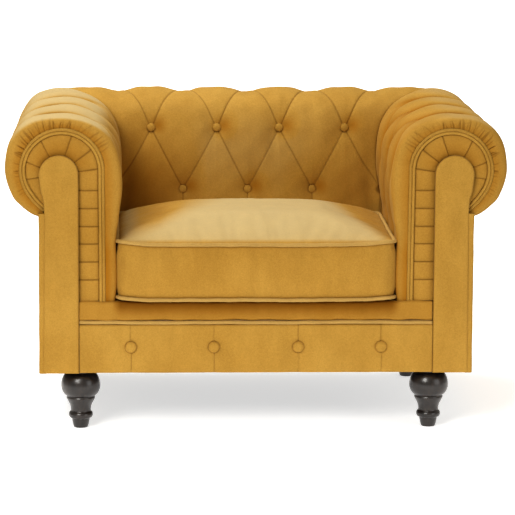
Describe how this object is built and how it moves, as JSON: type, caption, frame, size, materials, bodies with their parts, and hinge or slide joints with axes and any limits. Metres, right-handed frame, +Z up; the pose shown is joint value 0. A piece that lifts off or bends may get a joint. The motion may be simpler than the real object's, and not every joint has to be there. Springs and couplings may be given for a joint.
{
  "type": "upholstered armchair",
  "caption": "Rolled-arm armchair with a deep-buttoned back and arms, pleated arm fronts, a loose box cushion and turned wooden feet.",
  "frame": {"origin": "on the floor, under the middle of the overall box", "axes": "+X to the chair's right as seen from the front, +Y from the front towards the back, +Z up"},
  "size_m": [1.16, 0.778, 0.734],
  "materials": {
    "ochre_velvet": "matte",
    "frame_pine": "matte",
    "espresso_wood": "satin",
    "spring_steel": "satin",
    "cushion_foam": "matte",
    "dust_cloth": "matte",
    "zip_plastic": "matte"
  },
  "bodies": {
    "chair": {"front_seat_rail": "frame_pine", "rear_seat_rail": "frame_pine", "back_top_rail": "frame_pine", "right_side_seat_rail": "frame_pine", "left_side_seat_rail": "frame_pine", "right_front_post": "frame_pine", "left_front_post": "frame_pine", "right_rear_post": "frame_pine", "left_rear_post": "frame_pine", "right_arm_top_rail": "frame_pine", "left_arm_top_rail": "frame_pine", "right_front_corner_block": "frame_pine", "left_front_corner_block": "frame_pine", "right_rear_corner_block": "frame_pine", "left_rear_corner_block": "frame_pine", "seat_spring_1": "spring_steel", "seat_spring_2": "spring_steel", "seat_spring_3": "spring_steel", "seat_spring_4": "spring_steel", "seat_deck": "ochre_velvet", "dust_cover": "dust_cloth", "right_front_foot": "espresso_wood", "left_front_foot": "espresso_wood", "right_front_foot_bolt": "spring_steel", "left_front_foot_bolt": "spring_steel", "right_rear_foot": "espresso_wood", "left_rear_foot": "espresso_wood", "right_rear_foot_bolt": "spring_steel", "left_rear_foot_bolt": "spring_steel", "back_pad": "ochre_velvet", "right_arm_pad": "ochre_velvet", "left_arm_pad": "ochre_velvet", "right_facing_panel": "ochre_velvet", "left_facing_panel": "ochre_velvet", "right_pleated_band": "ochre_velvet", "left_pleated_band": "ochre_velvet", "right_arm_piping": "ochre_velvet", "left_arm_piping": "ochre_velvet", "right_outside_arm": "ochre_velvet", "left_outside_arm": "ochre_velvet", "outside_back": "ochre_velvet", "front_border": "ochre_velvet", "front_rail_pad": "ochre_velvet", "rail_piping": "ochre_velvet", "rail_button_1": "ochre_velvet", "rail_button_2": "ochre_velvet", "rail_button_3": "ochre_velvet", "rail_button_4": "ochre_velvet", "back_button_1": "ochre_velvet", "back_button_2": "ochre_velvet", "back_button_3": "ochre_velvet", "back_button_4": "ochre_velvet", "back_button_5": "ochre_velvet", "back_button_6": "ochre_velvet", "back_button_7": "ochre_velvet"},
    "cushion": {"cushion_core": "cushion_foam", "cushion_cover": "ochre_velvet", "cushion_zip": "zip_plastic", "cushion_top_welt": "ochre_velvet", "cushion_bottom_welt": "ochre_velvet"}
  },
  "joints": [
    {"name": "cushion_slide", "type": "slide", "parent": "chair", "child": "cushion", "axis": [0, -1, 0], "range_m": [0, 0.56]}
  ]
}
